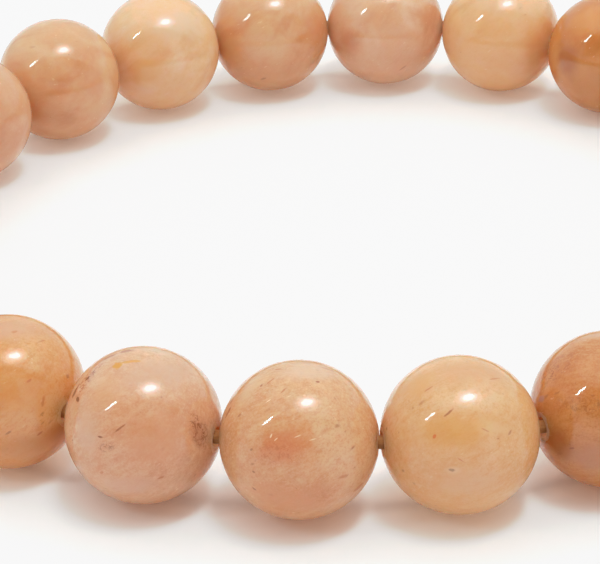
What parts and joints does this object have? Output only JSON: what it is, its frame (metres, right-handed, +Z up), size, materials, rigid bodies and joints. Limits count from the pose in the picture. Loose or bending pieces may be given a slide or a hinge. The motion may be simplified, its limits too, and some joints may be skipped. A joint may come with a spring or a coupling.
{
  "type": "beaded bracelet",
  "caption": "Stretch bracelet of round polished stone beads strung side by side on a closed elastic loop, lying flat in a slightly uneven ring.",
  "frame": {"origin": "centre of the box round the bracelet, on the surface that it lies on", "axes": "+Z up out of the surface, across the ring's height; -Y towards the front middle bead; +X to the right seen from the front"},
  "size_m": [0.0656, 0.0642, 0.008],
  "materials": {
    "stone_peach": "polished, cloudy peach, slightly translucent",
    "stone_pink": "polished, cloudy pinkish peach, slightly translucent",
    "stone_honey": "polished, cloudy honey yellow, slightly translucent",
    "stone_amber": "polished, deep amber brown, slightly translucent",
    "elastic": "smooth, milky clear"
  },
  "bodies": {
    "root": {"bead_01": "stone_peach", "bead_02": "stone_honey", "bead_03": "stone_amber", "bead_04": "stone_pink", "bead_05": "stone_honey", "bead_06": "stone_peach", "bead_07": "stone_peach", "bead_08": "stone_amber", "bead_09": "stone_honey", "bead_10": "stone_amber", "bead_11": "stone_honey", "bead_12": "stone_pink", "bead_13": "stone_peach", "bead_14": "stone_honey", "bead_15": "stone_peach", "bead_16": "stone_pink", "bead_17": "stone_amber", "bead_18": "stone_peach", "bead_19": "stone_honey", "bead_20": "stone_peach", "bead_21": "stone_honey", "bead_22": "stone_pink", "elastic_cord": "elastic"}
  },
  "joints": []
}
